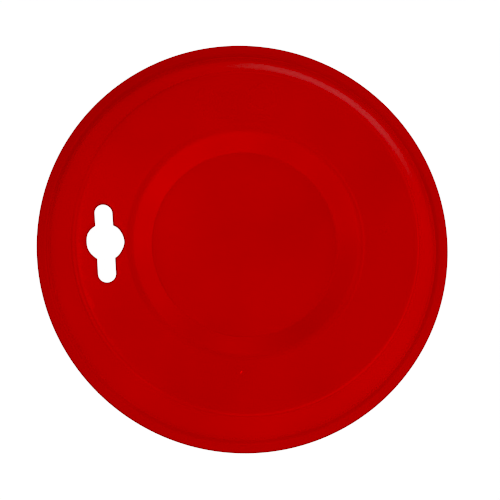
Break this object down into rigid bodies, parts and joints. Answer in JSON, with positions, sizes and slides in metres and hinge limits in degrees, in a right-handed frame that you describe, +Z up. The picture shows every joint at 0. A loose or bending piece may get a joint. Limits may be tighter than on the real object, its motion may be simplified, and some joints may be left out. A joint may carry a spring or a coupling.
{
  "type": "ice fishing tip-up base disc",
  "caption": "Round moulded plastic cover with a recessed centre and a double keyhole that holds an ice fishing tip-up's stand over the hole in the ice.",
  "frame": {"origin": "on the disc's axis, in the plane that the rim rests on, which is the lowest face", "axes": "+Z up along the disc's axis, out of the face with the recessed centre; -X runs from the axis towards the keyhole; +Y completes the right-handed frame"},
  "size_m": [0.1998, 0.1998, 0.018],
  "materials": {
    "red_plastic": "satin-gloss injection-moulded polypropylene, deep saturated red"
  },
  "bodies": {
    "root": {"base_disc": "red_plastic"}
  },
  "joints": []
}
